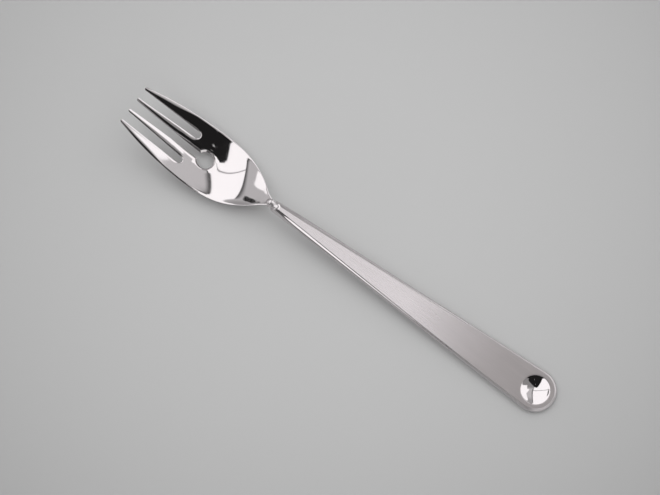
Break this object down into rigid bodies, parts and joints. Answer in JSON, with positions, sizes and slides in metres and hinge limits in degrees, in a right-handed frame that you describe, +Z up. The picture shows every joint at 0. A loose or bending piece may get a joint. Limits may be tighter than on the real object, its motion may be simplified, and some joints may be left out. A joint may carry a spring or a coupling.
{
  "type": "fish fork",
  "caption": "Table fork for fish with a wide shallow mirror-polished head, fine tines, a round hole at the middle gap, a tapered flat brushed handle and a dimple in its round end.",
  "frame": {"origin": "middle of the fork's bounding box, on the table plane it lies on", "axes": "+X from the tine tips to the round end of the handle, +Y across to the fork's left when seen from above with the tines pointing away, +Z up from the table"},
  "size_m": [0.19, 0.0244, 0.0125],
  "materials": {
    "polished_steel": "mirror-polished stainless steel with fine hairlines",
    "brushed_steel": "top brushed along its length, shoulders, underside and dimple polished",
    "filler_metal": "silver brazing alloy as cast, hidden inside the joint"
  },
  "bodies": {
    "root": {"fork_head": "polished_steel", "handle": "brushed_steel", "braze_sleeve": "filler_metal"}
  },
  "joints": []
}
